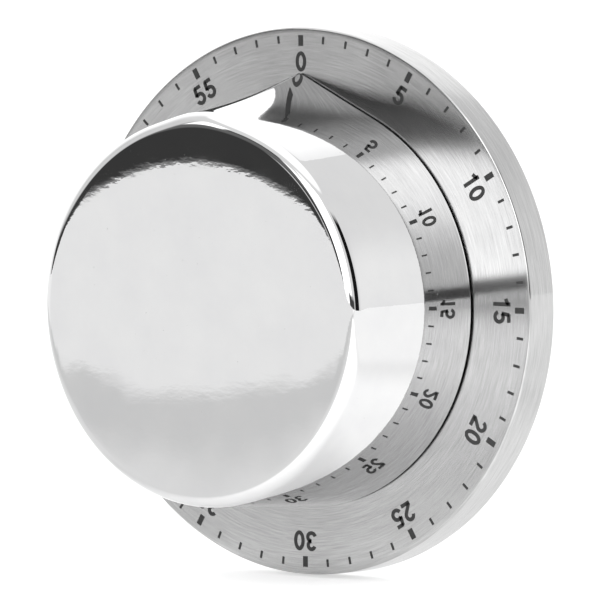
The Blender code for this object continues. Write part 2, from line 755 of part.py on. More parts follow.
def build():
    for obj in list(bpy.data.objects):
        bpy.data.objects.remove(obj)

    root = bpy.data.objects.new("timer", None)
    bpy.context.scene.collection.objects.link(root)
    root.rotation_euler = (math.pi / 2, 0, 0)

    chrome = material("chrome", (0.80, 0.80, 0.81), 1.0, 0.04)
    brushed = material("brushed_steel", (0.62, 0.62, 0.63), 1.0, 0.28)
    black = material("black_plastic", (0.02, 0.02, 0.022), 0.0, 0.45)
    white = material("white_plastic", (0.75, 0.75, 0.73), 0.0, 0.4)
    brass = material("brass", (0.72, 0.55, 0.24), 1.0, 0.25)
    steel = material("steel", (0.5, 0.5, 0.51), 1.0, 0.3)
    blued = material("spring_steel", (0.16, 0.18, 0.24), 1.0, 0.3)
    bell_steel = material("bell_steel", (0.66, 0.65, 0.62), 1.0, 0.15)
    ferrite = material("ferrite", (0.05, 0.05, 0.052), 0.0, 0.6)

    def add(name, mesh, look, spot=(0, 0), turn=0.0):
        return piece(name, mesh, look, spot, turn, root)

    # Arbor places
    great_distance = (WHEEL_TEETH + LEAVES) * GREAT_MODULE / 2
    second = polar(great_distance, SECOND_CLOCK)
    third = meshed_place(second, (WHEEL_TEETH + LEAVES) * SECOND_MODULE / 2, THIRD_FROM_CENTRE)
    escape = meshed_place(third, (WHEEL_TEETH + LEAVES) * THIRD_MODULE / 2, ESCAPE_FROM_CENTRE)
    verge = meshed_place(escape, VERGE_REACH, VERGE_FROM_CENTRE)
    strike = polar(great_distance, STRIKE_CLOCK)
    hammer = meshed_place(strike, HAMMER_REACH, HAMMER_FROM_CENTRE)
    pillars = [polar(PILLAR_CIRCLE, clock) for clock in PILLAR_CLOCKS]
    stud = polar(LEVER_STUD_CIRCLE, LEVER_STUD_CLOCK)
    stop = polar(STOP_CIRCLE, -STOP_MARGIN)
    magnets = [polar(MAGNET_CIRCLE, clock) for clock in MAGNET_CLOCKS]
    cover_screws = [polar(COVER_SCREW_CIRCLE, clock) for clock in COVER_SCREW_CLOCKS]

    # Case and knob
    add("dial_bezel", bezel_mesh(), brushed)
    add("body_housing", housing_mesh(cover_screws), black)
    add("back_cover", cover_mesh(magnets, cover_screws), black)
    magnet = magnet_mesh()
    seat = COUNTERBORE[1] - REST_GAP
    cover_screw = screw_mesh(COVER_SCREW, seat, seat - 0.8, PILOT_FRONT - 0.3)
    seat = DRUM_FRONT + REST_GAP
    movement_screw = screw_mesh(MOVEMENT_SCREW, seat, seat + 1.2, PILLAR_HEAD_FRONT + 0.3)
    for number in (1, 2, 3):
        add(f"magnet_{number}", magnet, ferrite, magnets[number - 1])
        add(f"cover_screw_{number}", cover_screw, steel, cover_screws[number - 1])
        add(f"movement_screw_{number}", movement_screw, steel, pillars[number - 1])
    add("knob_shell", knob_mesh(), chrome)
    add("knob_hub", hub_mesh(), white)

    # Frame of the movement
    pivots = [(PIVOT_RADIUS + FIT, spot) for spot in (second, third, escape, verge, strike, hammer)]
    feet = [(PILLAR_FOOT_RADIUS + FIT, spot) for spot in pillars]
    heads = [(PILLAR_HEAD_RADIUS + FIT, spot) for spot in pillars]
    studs = [(LEVER_STUD_RADIUS + FIT, stud), (STOP_RADIUS + FIT, stop)]
    rear_holes = [*pivots, *feet, (MAIN_PIVOT_RADIUS + FIT, (0, 0))]
    front_holes = [*pivots, *heads, (MAIN_RADIUS + FIT, (0, 0)), *studs]
    add("rear_plate", movement_plate(REAR_PLATE, rear_holes), steel)
    add("front_plate", movement_plate(FRONT_PLATE, front_holes), steel)
    pillar = pillar_mesh()
    nut = nut_mesh()
    for number in (1, 2, 3):
        add(f"pillar_{number}", pillar, steel, pillars[number - 1])
        add(f"standoff_nut_{number}", nut, brass, pillars[number - 1])

    # Bell
    add("bell", bell_mesh(), bell_steel)
    add("bell_post", bell_post_mesh(), steel)
    seat = BELL[0] - REST_GAP
    add("bell_screw", screw_mesh(BELL_SCREW, seat, seat - 0.9, seat + 1.7), steel)

    # Going train
    main_bore = bore(MAIN_RADIUS + FIT, 16)
    pivot_bore = bore(PIVOT_RADIUS + FIT)
    add("main_arbor", main_arbor_mesh(), steel)
    add("clutch_washer", plate(circle(CLUTCH_RADIUS), *CLUTCH_WASHER, [main_bore]), blued)
    shape = (5, GREAT_HUB, GREAT_RIM, GREAT_SPOKE)
    add("great_wheel", wheel_mesh(GREAT_MODULE, SECOND_CLOCK, GREAT_WHEEL, main_bore, *shape), brass)
    add("mainspring", spring_mesh(), blued)
    alarm = wheel_outline(GREAT_MODULE, STRIKE_CLOCK)
    add("alarm_wheel", plate(alarm, *ALARM_WHEEL, [main_bore]), brass)
    spring_post = plain_shaft(SPRING_POST_RADIUS, *SPRING_POST)
    add("spring_post", spring_post, steel, polar(SPRING_POST_CIRCLE, SPRING_POST_CLOCK))

    leaves = pinion_outline(GREAT_MODULE, clock_of(second) + 180)
    add("second_arbor", arbor_mesh(leaves, GREAT_WHEEL), steel, second)
    toward = clock_of(third - second)
    wheel = wheel_mesh(SECOND_MODULE, toward, SECOND_WHEEL, pivot_bore, 4, SECOND_HUB, SMALL_RIM, SMALL_SPOKE)
    add("second_wheel", wheel, brass, second)

    leaves = pinion_outline(SECOND_MODULE, clock_of(second - third))
    add("third_arbor", arbor_mesh(leaves, SECOND_WHEEL), steel, third)
    toward = clock_of(escape - third)
    wheel = wheel_mesh(THIRD_MODULE, toward, THIRD_WHEEL, pivot_bore, 4, THIRD_HUB, SMALL_RIM, SMALL_SPOKE)
    add("third_wheel", wheel, brass, third)

    leaves = pinion_outline(THIRD_MODULE, clock_of(third - escape))
    add("escape_arbor", arbor_mesh(leaves, THIRD_WHEEL), steel, escape)
    teeth = toothed(ESCAPE_TEETH, ESCAPE_ROOT, ESCAPE_RADIUS, 0.5, 0.08)
    add("escape_wheel", plate(teeth, *ESCAPE_WHEEL, [pivot_bore]), brass, escape)

    # Verge and balance
    add("verge_arbor", plain_shaft(PIVOT_RADIUS, REAR_PLATE[0], FRONT_PLATE[1]), steel, verge)
    toward = clock_of(escape - verge)
    anchor = verge_mesh(VERGE_REACH, ESCAPE_RADIUS + VERGE_CLEARANCE, VERGE_SPREAD, toward, ESCAPE_WHEEL)
    add("pallet_verge", anchor, steel, verge)
    openings = windows(2, BALANCE_HUB, BALANCE_RADIUS - BALANCE_RIM, BALANCE_SPOKE, toward + 90)
    balance = plate(circle(BALANCE_RADIUS, 32), *BALANCE_WHEEL, [pivot_bore, *openings])
    add("balance_wheel", balance, brass, verge)

    # Strike
    leaves = pinion_outline(GREAT_MODULE, clock_of(strike) + 180)
    add("strike_arbor", arbor_mesh(leaves, ALARM_WHEEL), steel, strike)
    teeth = toothed(STAR_TEETH, STAR_ROOT, STAR_RADIUS, 0.5, 0.12)
    add("strike_wheel", plate(teeth, *STRIKE_WHEEL, [pivot_bore]), brass, strike)
    add("hammer_arbor", plain_shaft(PIVOT_RADIUS, HAMMER_ARBOR_BACK, FRONT_PLATE[1]), steel, hammer)
    toward = clock_of(strike - hammer)
    anchor = verge_mesh(HAMMER_REACH, STAR_RADIUS + HAMMER_CLEARANCE, HAMMER_SPREAD, toward, STRIKE_WHEEL)
    add("hammer_verge", anchor, steel, hammer)
    reach = polar(HAMMER_HEAD_CIRCLE, HAMMER_HEAD_CLOCK) - hammer
    arm = slot(reach.length + HAMMER_ARM_WIDTH, HAMMER_ARM_WIDTH, reach / 2, clock_of(reach), 8)
    holes = [pivot_bore, bore(PIVOT_RADIUS + FIT, 8, reach)]
    add("hammer_arm", plate(arm, *HAMMER_ARM, holes), steel, hammer)
    add("hammer_head", moved(hammer_head_mesh(), reach), brass, hammer)

    # Stop and release
    add("release_cam", cam_mesh(), brass)
    pin = plain_shaft(STOP_RADIUS, CAM[0] - 0.6, CAM[1] + REST_GAP)
    add("stop_pin", pin, steel, polar(STOP_CIRCLE, 0))
    add("stop_stud", plain_shaft(STOP_RADIUS, FRONT_PLATE[0] + REST_GAP, FRONT_PLATE[1] + 0.8), steel, stop)
    shoulder = CAM[0] - REST_GAP
    sections = [
        (LEVER_STUD_RADIUS, FRONT_PLATE[0] + REST_GAP, shoulder),
        (LEVER_PIVOT_RADIUS, shoulder, CAM[1] + 0.3),
    ]
    add("lever_stud", shaft(sections, circle(1, 12)), steel, stud)
    tip = polar(CAM_RADIUS + LEVER_CLEARANCE, LEVER_TIP_CLOCK)
    add("release_lever", lever_mesh(stud, tip), steel, stud)


build()
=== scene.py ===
"""The looks of the kitchen timer: a mirror-chrome pointer knob over a brushed steel dial, on a pale sweep."""

import json
import math

import bmesh
import bpy
from mathutils import Matrix, Vector


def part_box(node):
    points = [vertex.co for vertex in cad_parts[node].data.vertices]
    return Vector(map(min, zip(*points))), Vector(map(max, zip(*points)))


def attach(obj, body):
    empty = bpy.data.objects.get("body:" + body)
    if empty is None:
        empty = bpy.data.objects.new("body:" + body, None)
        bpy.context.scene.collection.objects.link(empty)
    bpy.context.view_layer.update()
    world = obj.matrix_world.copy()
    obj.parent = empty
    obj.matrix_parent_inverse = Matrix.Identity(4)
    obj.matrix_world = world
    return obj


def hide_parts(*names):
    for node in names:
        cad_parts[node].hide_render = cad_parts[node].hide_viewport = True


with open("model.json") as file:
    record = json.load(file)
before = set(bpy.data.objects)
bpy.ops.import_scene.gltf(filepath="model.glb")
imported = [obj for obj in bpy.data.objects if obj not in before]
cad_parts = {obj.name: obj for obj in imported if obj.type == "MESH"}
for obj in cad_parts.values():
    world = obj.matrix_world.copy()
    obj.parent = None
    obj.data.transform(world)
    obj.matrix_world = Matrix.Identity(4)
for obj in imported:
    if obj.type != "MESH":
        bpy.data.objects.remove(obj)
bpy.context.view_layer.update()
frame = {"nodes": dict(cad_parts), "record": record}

MM = 0.001

# ---- Sizes, in millimetres; a depth is how far in front of the back plane a thing lies ----

pan_low, pan_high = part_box("dial_bezel")
_, knob_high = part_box("knob_shell")
CASE_RADIUS = pan_high.x / MM
DIAL_DEPTH = -pan_low.y / MM
PAN_BACK = -pan_high.y / MM
SKIRT_RADIUS = knob_high.x / MM
TIP_RADIUS = knob_high.z / MM

# Dial pan
SHEET = 0.6
WALL = 0.8
PAN_HOLE = 26.0
PAN_TAPER = math.radians(2.0)
PAN_CORNER = 0.3
PAN_FILLET = 0.4
BACK_BEVEL = 0.12
EDGE_CROWDING = 1.7  # how much closer the rings on the face lie near its edge

# Knob, its heights above the dial
KNOB_GAP = 0.4
TOP_RADIUS = 27.9
TOP_HEIGHT = 24.1
DRAFT = math.radians(4.8)
RIM = 2.0
FLARE_HEIGHT = 4.7  # up to here the skirt flares most and its rings lie closest
FOOT_BEVEL = 0.12
FOOT_WALL = 0.4
KNOB_WALL = 1.8
HOLLOW_HEIGHT = TOP_HEIGHT - 0.5
FACE_EDGE_SLOPE = 0.060
FACE_POWER = 3.7  # how late the face's slope grows on its way to the rim

# Pointer: the ridge's radius at the top of the skirt, and how its slope eases toward there
RIDGE_TOP = 28.5
RIDGE_EASE = 1.4
# Rounding of the ridge: at the foot, its growth per millimetre, and the extra toward the top
FOOT_ROUNDING = 0.5
ROUNDING_GROWTH = 0.1
TOP_ROUNDING = 12.0
ROUNDING_POWER = 3.5

# Dial print
MINUTE = math.radians(6)  # one minute's turn round the dial
TICK_OUTER = 38.7
MINOR_TICK = (0.4, 1.1)  # width, length
MAJOR_TICK = (0.86, 1.57)
NUMERAL_CENTRE = 34.88
NUMERAL_HEIGHT = 2.94
DIGIT_WIDTH = 0.65  # in numeral heights, as are the next two
DIGIT_PITCH = 0.72
HALF_STROKE = 0.098
INK = 0.015

# Camera: where it stands round the dial's centre
CAMERA_AZIMUTH = math.radians(35.94)
CAMERA_ELEVATION = math.radians(4.04)
CAMERA_ROLL = math.radians(-0.52)
CAMERA_DISTANCE = 0.972  # metres
LENS = 401.7
SENSOR = 36.0
SHIFT = (-0.00517, 0.00283)

# Studio, in metres
FLOOR_HEIGHT = -CASE_RADIUS * MM - 0.0002
FLOOR_RADIUS = 14.0
TOWARD_CAMERA = (math.sin(CAMERA_AZIMUTH), -math.cos(CAMERA_AZIMUTH), 0.0)
RIGHT_OF_CAMERA = (math.cos(CAMERA_AZIMUTH), math.sin(CAMERA_AZIMUTH), 0.0)
# The way a flat dial mirrors the camera, and the left of that
MIRRORED = (-math.sin(CAMERA_AZIMUTH), -math.cos(CAMERA_AZIMUTH), 0.0)
LEFT_OF_MIRRORED = (-math.cos(CAMERA_AZIMUTH), math.sin(CAMERA_AZIMUTH), 0.0)

# Surroundings: a plain wall, and cards in front of it, each laid over the ones listed above it. A card is its
# brightness, its azimuths in degrees from straight in front toward +X, its heights as sines of the elevation,
# and the softness of its edges, in radians of azimuth and in height
OPEN_WALL = 1.1
CARDS = (
    (1.65, (-181, -95), (-0.1, 1.1), (0.3, 0.02)),  # the wall behind, on the left
    (1.4, (-181, -95), (-0.1, 0.2), (0.3, 0.1)),  # its foot
    (1.28, (105, 160), (-0.1, 0.4), (0.2, 0.15)),  # the wall behind, on the right
    (3.1, (-20, 38), (-0.1, 0.75), (0.08, 0.02)),  # the window, in front
    (1.1, (-24, 8), (0.58, 0.84), (0.08, 0.03)),  # the blind at its top left
    (0.06, (-78, -11), (-0.005, 0.61), (0.04, 0.01)),  # the dark room, left of the window
    (0.2, (-78, -8), (0.25, 0.54), (0.06, 0.08)),  # its upper wall
    (1.0, (-78, -50), (0.10, 0.7), (0.06, 0.05)),  # a pale screen at its far side
    (2.5, (-48, -34), (0.48, 0.68), (0.03, 0.03)),  # a small lamp above the dark
    (1.1, (-27, -24), (-0.1, 0.2), (0.02, 0.06)),  # a slit of light beside the window
    (0.08, (16, 54), (-0.1, 0.07), (0.1, 0.02)),  # the dark sill below the window
    (0.012, (60, 92), (-0.1, 0.7), (0.02, 0.05)),  # a black flag, on the right
    (1.7, (-181, 181), (0.86, 1.5), (0.01, 0.02)),  # the light overhead
)


def polar(radius, clock):
    """(x, z) at this radius and clock angle in radians, clockwise from the 0 of the dial."""
    return radius * math.sin(clock), radius * math.cos(clock)


# ---- Node helpers ----


def tree_of(name):
    """A new material, its node tree and its shader."""
    material = bpy.data.materials.new(name)
    material.use_nodes = True
    tree = material.node_tree
    return material, tree, tree.nodes["Principled BSDF"]


def link(tree, source, target):
    """Joins two sockets; a plain value is set on the target instead."""
    if isinstance(source, bpy.types.NodeSocket):
        tree.links.new(source, target)
    else:
        target.default_value = source


def math_node(tree, operation, first, second=0.0):
    node = tree.nodes.new("ShaderNodeMath")
    node.operation = operation
    link(tree, first, node.inputs[0])
    link(tree, second, node.inputs[1])
    return node.outputs[0]


def plus(tree, first, second):
    return math_node(tree, "ADD", first, second)


def times(tree, first, second):
    return math_node(tree, "MULTIPLY", first, second)


def mixed(tree, first, second, share):
    """This share of the first value and the rest of the second."""
    return plus(tree, times(tree, first, share), times(tree, second, 1 - share))


def vector_node(tree, operation, first, second=None, scale=None):
    node = tree.nodes.new("ShaderNodeVectorMath")
    node.operation = operation
    link(tree, first, node.inputs[0])
    if second is not None:
        link(tree, second, node.inputs[1])
    if scale is not None:
        link(tree, scale, node.inputs["Scale"])
    gives_number = operation in ("LENGTH", "DOT_PRODUCT")
    return node.outputs["Value" if gives_number else "Vector"]


def along(tree, spot, direction):
    """How far a point lies along a direction."""
    return vector_node(tree, "DOT_PRODUCT", spot, direction)


def noise(tree, vector, scale, detail, roughness):
    node = tree.nodes.new("ShaderNodeTexNoise")
    link(tree, vector, node.inputs["Vector"])
    node.inputs["Scale"].default_value = scale
    node.inputs["Detail"].default_value = detail
    node.inputs["Roughness"].default_value = roughness
    return node.outputs["Fac"]


def spread(tree, value, limits, results=(0.0, 1.0), smooth=False):
    """Maps the range between two limits onto the range between two results, clamped."""
    node = tree.nodes.new("ShaderNodeMapRange")
    node.interpolation_type = "SMOOTHSTEP" if smooth else "LINEAR"
    link(tree, value, node.inputs["Value"])
    for socket, number in zip(("From Min", "From Max", "To Min", "To Max"), (*limits, *results)):
        link(tree, number, node.inputs[socket])
    return node.outputs["Result"]


def step(tree, value, limits, results=(0.0, 1.0)):
    """The same with soft ends."""
    return spread(tree, value, limits, results, smooth=True)


def band(tree, value, limits, soft):
    """1 between two limits and 0 outside them, with edges that fade over this much to each side."""
    low, high = limits
    rise = step(tree, value, (low - soft, low + soft))
    fall = step(tree, value, (high - soft, high + soft), (1.0, 0.0))
    return times(tree, rise, fall)


def blend_colors(tree, factor, first, second):
    """The first colour at 0 and the second at 1; a mix node's colours are its inputs 6 and 7 and output 2."""
    node = tree.nodes.new("ShaderNodeMix")
    node.data_type = "RGBA"
    link(tree, factor, node.inputs["Factor"])
    link(tree, first, node.inputs[6])
    link(tree, second, node.inputs[7])
    return node.outputs[2]


def bump(tree, height, distance):
    node = tree.nodes.new("ShaderNodeBump")
    node.inputs["Strength"].default_value = 1.0
    node.inputs["Distance"].default_value = distance
    link(tree, height, node.inputs["Height"])
    return node.outputs["Normal"]


def place(tree):
    """The point on the object, in metres, in the frame of the timer."""
    return tree.nodes.new("ShaderNodeTexCoord").outputs["Object"]


def grey(value):
    return value, value, value, 1.0


def split(tree, vector):
    node = tree.nodes.new("ShaderNodeSeparateXYZ")
    link(tree, vector, node.inputs[0])
    return node.outputs


def joined(tree, x, y, z):
    node = tree.nodes.new("ShaderNodeCombineXYZ")
    for source, target in zip((x, y, z), node.inputs):
        link(tree, source, target)
    return node.outputs[0]


def round_the_axis(tree, lines_per_metre, turns):
    """Coordinates for marks that run in circles round the dial's axis: fine across, long round."""
    x, y, z = split(tree, place(tree))
    flat = joined(tree, x, 0.0, z)
    outward = vector_node(tree, "NORMALIZE", flat)
    around = vector_node(tree, "SCALE", outward, scale=turns)
    across = math_node(tree, "SUBTRACT", vector_node(tree, "LENGTH", flat), y)
    return vector_node(tree, "ADD", around, joined(tree, 0.0, times(tree, across, lines_per_metre), 0.0))


# ---- Materials ----


def chrome():
    """Bright plating: almost a mirror, with the faint waviness of the moulding under it and a few pits."""
    material, tree, shader = tree_of("chrome_plating")
    spot = place(tree)
    flattened = vector_node(tree, "MULTIPLY", spot, (1.0, 1.0, 2.2))
    ripple = noise(tree, flattened, scale=520.0, detail=2.0, roughness=0.5)
    swell = noise(tree, spot, scale=70.0, detail=1.0, roughness=0.4)
    pits = spread(tree, noise(tree, spot, scale=2600.0, detail=1.0, roughness=0.5), (0.82, 0.86))
    height = plus(tree, times(tree, swell, 3.0), ripple)
    height = plus(tree, height, times(tree, pits, 6.0))
    haze = noise(tree, spot, scale=160.0, detail=4.0, roughness=0.6)
    tint = blend_colors(tree, spread(tree, haze, (0.3, 0.7)), (0.60, 0.60, 0.605, 1), grey(0.63))
    link(tree, tint, shader.inputs["Base Color"])
    link(tree, spread(tree, haze, (0.45, 0.75), (0.012, 0.05)), shader.inputs["Roughness"])
    link(tree, bump(tree, height, 2.6e-6), shader.inputs["Normal"])
    shader.inputs["Metallic"].default_value = 1.0
    return material


def brushed():
    """Steel brushed in circles round the dial."""
    material, tree, shader = tree_of("circular_brushed_steel")
    fine_circles = round_the_axis(tree, lines_per_metre=11000.0, turns=9.0)
    coarse_circles = round_the_axis(tree, lines_per_metre=4500.0, turns=5.0)
    fine = noise(tree, fine_circles, scale=1.0, detail=3.0, roughness=0.65)
    coarse = noise(tree, coarse_circles, scale=1.0, detail=2.0, roughness=0.5)
    mottled = noise(tree, place(tree), scale=90.0, detail=3.0, roughness=0.5)
    lines = mixed(tree, fine, coarse, 0.75)
    worn = mixed(tree, lines, mottled, 0.8)
    color = blend_colors(tree, spread(tree, worn, (0.32, 0.68)), grey(0.345), grey(0.555))
    link(tree, color, shader.inputs["Base Color"])
    link(tree, spread(tree, worn, (0.3, 0.7), (0.155, 0.115)), shader.inputs["Roughness"])
    link(tree, bump(tree, lines, 1.6e-6), shader.inputs["Normal"])
    shader.inputs["Metallic"].default_value = 1.0
    shader.inputs["Anisotropic"].default_value = 0.97
    shader.inputs["Anisotropic Rotation"].default_value = 0.25
    tangent = tree.nodes.new("ShaderNodeTangent")
    tangent.direction_type = "RADIAL"
    tangent.axis = "Y"
    link(tree, tangent.outputs[0], shader.inputs["Tangent"])
    return material


def ink():
    """Black printing ink with a fine speckle."""
    material, tree, shader = tree_of("black_ink")
    speckle = noise(tree, place(tree), scale=9000.0, detail=3.0, roughness=0.6)
    color = blend_colors(tree, spread(tree, speckle, (0.35, 0.75)), grey(0.008), grey(0.03))
    link(tree, color, shader.inputs["Base Color"])
    link(tree, spread(tree, speckle, (0.3, 0.7), (0.4, 0.6)), shader.inputs["Roughness"])
    link(tree, bump(tree, speckle, 2.0e-6), shader.inputs["Normal"])
    return material


def moulded(name, low, high, roughness):
    """Moulded plastic with a fine spark-eroded grain."""
    material, tree, shader = tree_of(name)
    spot = place(tree)
    grain = noise(tree, spot, scale=4200.0, detail=2.0, roughness=0.5)
    cloud = noise(tree, spot, scale=60.0, detail=4.0, roughness=0.55)
    color = blend_colors(tree, spread(tree, cloud, (0.3, 0.7)), grey(low), grey(high))
    sheen = spread(tree, cloud, (0.3, 0.7), (roughness - 0.06, roughness + 0.06))
    link(tree, color, shader.inputs["Base Color"])
    link(tree, sheen, shader.inputs["Roughness"])
    link(tree, bump(tree, grain, 1.6e-5), shader.inputs["Normal"])
    return material


def sheet_metal(name, dark, light, roughness):
    """Rolled, cut or plated metal with faint drawn lines, stains and a varying polish."""
    material, tree, shader = tree_of(name)
    spot = place(tree)
    drawn_out = vector_node(tree, "MULTIPLY", spot, (1.0, 1.0, 14.0))
    lines = noise(tree, drawn_out, scale=900.0, detail=3.0, roughness=0.6)
    stain = noise(tree, spot, scale=240.0, detail=4.0, roughness=0.6)
    worn = mixed(tree, lines, stain, 0.5)
    color = blend_colors(tree, spread(tree, worn, (0.35, 0.65)), dark, light)
    polish = spread(tree, worn, (0.35, 0.65), (roughness + 0.1, roughness - 0.06))
    link(tree, color, shader.inputs["Base Color"])
    link(tree, polish, shader.inputs["Roughness"])
    link(tree, bump(tree, lines, 3.0e-6), shader.inputs["Normal"])
    shader.inputs["Metallic"].default_value = 1.0
    return material


def ferrite():
    """A ground ceramic magnet: dark, slightly sparkling, with grinding lines."""
    material, tree, shader = tree_of("ground_ferrite")
    spot = place(tree)
    drawn_out = vector_node(tree, "MULTIPLY", spot, (22.0, 1.0, 1.0))
    grain = noise(tree, spot, scale=5200.0, detail=3.0, roughness=0.7)
    ground = noise(tree, drawn_out, scale=320.0, detail=3.0, roughness=0.6)
    color = blend_colors(tree, spread(tree, ground, (0.3, 0.7)), grey(0.035), grey(0.085))
    link(tree, color, shader.inputs["Base Color"])
    link(tree, spread(tree, grain, (0.3, 0.7), (0.38, 0.58)), shader.inputs["Roughness"])
    link(tree, bump(tree, ground, 6.0e-6), shader.inputs["Normal"])
    shader.inputs["Metallic"].default_value = 0.35
    return material


# ---- Meshes ----


def loft(name, rings, close_start=False, close_end=False):
    """A smooth skin through rings of (x, depth, z) points in millimetres, all with as many points."""
    bm = bmesh.new()
    loops = [[bm.verts.new((x * MM, -depth * MM, z * MM)) for x, depth, z in ring] for ring in rings]
    for first, second in zip(loops, loops[1:]):
        for i in range(len(first)):
            j = (i + 1) % len(first)
            bm.faces.new((first[i], first[j], second[j], second[i]))
    for wanted, loop in ((close_start, loops[0]), (close_end, loops[-1])):
        if wanted:
            middle = bm.verts.new(sum((vert.co for vert in loop), Vector()) / len(loop))
            for i, vert in enumerate(loop):
                bm.faces.new((vert, loop[(i + 1) % len(loop)], middle))
    bmesh.ops.recalc_face_normals(bm, faces=bm.faces)
    mesh = bpy.data.meshes.new(name)
    bm.to_mesh(mesh)
    bm.free()
    mesh.shade_smooth()
    obj = bpy.data.objects.new(name, mesh)
    bpy.context.scene.collection.objects.link(obj)
    return obj


def ridge_at(height):
    """The radius of the pointer's ridge and of its rounding at this height above the dial."""
    share = height / TOP_HEIGHT
    tip = RIDGE_TOP + (TIP_RADIUS - RIDGE_TOP) * (1 - share) ** RIDGE_EASE
    rounding = FOOT_ROUNDING + ROUNDING_GROWTH * height + TOP_ROUNDING * share**ROUNDING_POWER
    return tip, rounding


def knob_ring(height, inset=0.0, depth=None, scale=1.0):
    """One ring of the knob: the hull of a big circle and the pointer's small rounding, inset and scaled."""
    climb = (height - KNOB_GAP) / (TOP_HEIGHT - KNOB_GAP)
    side = SKIRT_RADIUS + (TOP_RADIUS - SKIRT_RADIUS) * climb
    tip, rounding = ridge_at(height)
    centre = tip - rounding
    turn = math.acos((side - rounding) / centre)
    side, rounding = side - inset, rounding - inset
    half_tip, straight, around = 8, 14, 220  # steps in half the tip, along each straight and round the rest
    tip_arc = [polar(rounding, turn * i / half_tip) for i in range(-half_tip, half_tip + 1)]
    points = [(x, z + centre) for x, z in tip_arc]
    near_x, near_z = points[-1]
    far_x, far_z = polar(side, turn)
    shares = [i / straight for i in range(1, straight)]
    flank = [(near_x + (far_x - near_x) * share, near_z + (far_z - near_z) * share) for share in shares]
    points += flank
    points += [polar(side, turn + (math.tau - 2 * turn) * i / around) for i in range(around + 1)]
    points += [(-x, z) for x, z in reversed(flank)]
    forward = DIAL_DEPTH + height if depth is None else depth
    return [(x * scale, forward, z * scale) for x, z in points]


def rounded(ring, radius, share):
    """The ring with every point moved this share of the way onto a circle."""
    points = []
    for x, depth, z in ring:
        grown = 1 + (radius / math.hypot(x, z) - 1) * share
        points.append((x * grown, depth, z * grown))
    return points


def skirt_heights():
    """Heights above the dial for the skirt's rings: close together in the flare, then wider apart."""
    flare_steps, upper_steps = 19, 22
    foot = KNOB_GAP + FOOT_BEVEL
    flare, upper = FLARE_HEIGHT - foot, TOP_HEIGHT - FLARE_HEIGHT
    heights = [foot + flare * i / flare_steps for i in range(flare_steps)]
    return heights + [FLARE_HEIGHT + upper * i / upper_steps for i in range(upper_steps + 1)]


def hollow_rings():
    """The unseen hollow of the knob, from its middle down to the foot and round the foot's bevel."""
    foot, roof = DIAL_DEPTH + KNOB_GAP, DIAL_DEPTH + HOLLOW_HEIGHT
    return [
        knob_ring(TOP_HEIGHT, inset=3.0, depth=roof, scale=0.5),
        knob_ring(TOP_HEIGHT, KNOB_WALL, roof),
        knob_ring(KNOB_GAP, FOOT_WALL, foot + 1.0),
        knob_ring(KNOB_GAP, FOOT_WALL - 0.05, foot),
        knob_ring(KNOB_GAP, FOOT_BEVEL, foot),
        knob_ring(KNOB_GAP, FOOT_BEVEL / 4, foot + FOOT_BEVEL / 3),
    ]


def rim_rings():
    """The rounded rim, which also turns the pointer's outline into a circle."""
    rings = []
    steps = 14
    end = math.pi / 2 - FACE_EDGE_SLOPE
    for i in range(1, steps + 1):
        turn = DRAFT + (end - DRAFT) * i / steps
        inset = RIM * (math.cos(DRAFT) - math.cos(turn))
        lift = RIM * (math.sin(turn) - math.sin(DRAFT))
        ring = knob_ring(TOP_HEIGHT, inset, DIAL_DEPTH + TOP_HEIGHT + lift)
        rings.append(rounded(ring, TOP_RADIUS - inset, i / steps))
    return rings


def face_rings(rim):
    """The face inside the rim's last ring: a low dome whose slope grows toward its edge."""
    steps = 44
    first_x, depth, first_z = rim[0]
    dome = FACE_EDGE_SLOPE * math.hypot(first_x, first_z) / (FACE_POWER + 1)
    rings = []
    for i in range(1, steps):
        share = 1 - i / steps
        rise = dome * (1 - share ** (FACE_POWER + 1))
        rings.append([(x * share, depth + rise, z * share) for x, _, z in rim])
    return rings


def make_knob(look):
    """The chrome knob: a hollow foot, the flared skirt with its pointer, a rounded rim and a domed face."""
    rings = hollow_rings() + [knob_ring(height) for height in skirt_heights()] + rim_rings()
    rings += face_rings(rings[-1])
    obj = loft("knob_chrome_shell", rings, close_start=True, close_end=True)
    obj.data.materials.append(look)
    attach(obj, "knob")
    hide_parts("knob_shell")


def turned(name, profile):
    """A closed profile of (radius, depth) points, turned round the dial's axis."""
    steps = 360
    rings = []
    for radius, depth in profile:
        spots = (polar(radius, math.tau * i / steps) for i in range(steps))
        rings.append([(x, depth, z) for x, z in spots])
    return loft(name, rings + rings[:1])


def pan_profile():
    """The section of the dial pan: side wall, rounded edge, face as far as the hole, and the inside."""
    wall_steps, corner_steps, face_steps = 6, 10, 7
    front_radius = CASE_RADIUS - (DIAL_DEPTH - PAN_BACK) * math.tan(PAN_TAPER)
    inner = CASE_RADIUS - WALL
    under = DIAL_DEPTH - SHEET
    profile = [(inner, PAN_BACK), (CASE_RADIUS - BACK_BEVEL, PAN_BACK), (CASE_RADIUS, PAN_BACK + BACK_BEVEL)]
    low, high = PAN_BACK + PAN_CORNER, DIAL_DEPTH - PAN_CORNER
    for i in range(wall_steps + 1):
        share = i / wall_steps
        profile.append((CASE_RADIUS + (front_radius - CASE_RADIUS) * share, low + (high - low) * share))
    for i in range(1, corner_steps + 1):
        turn = math.pi / 2 * i / corner_steps
        radius = front_radius - PAN_CORNER * (1 - math.cos(turn))
        profile.append((radius, high + PAN_CORNER * math.sin(turn)))
    edge = front_radius - PAN_CORNER
    for i in range(1, face_steps + 1):
        profile.append((edge + (PAN_HOLE - edge) * (i / face_steps) ** EDGE_CROWDING, DIAL_DEPTH))
    return profile + [(PAN_HOLE, under), (inner - PAN_FILLET, under), (inner, under - PAN_FILLET)]


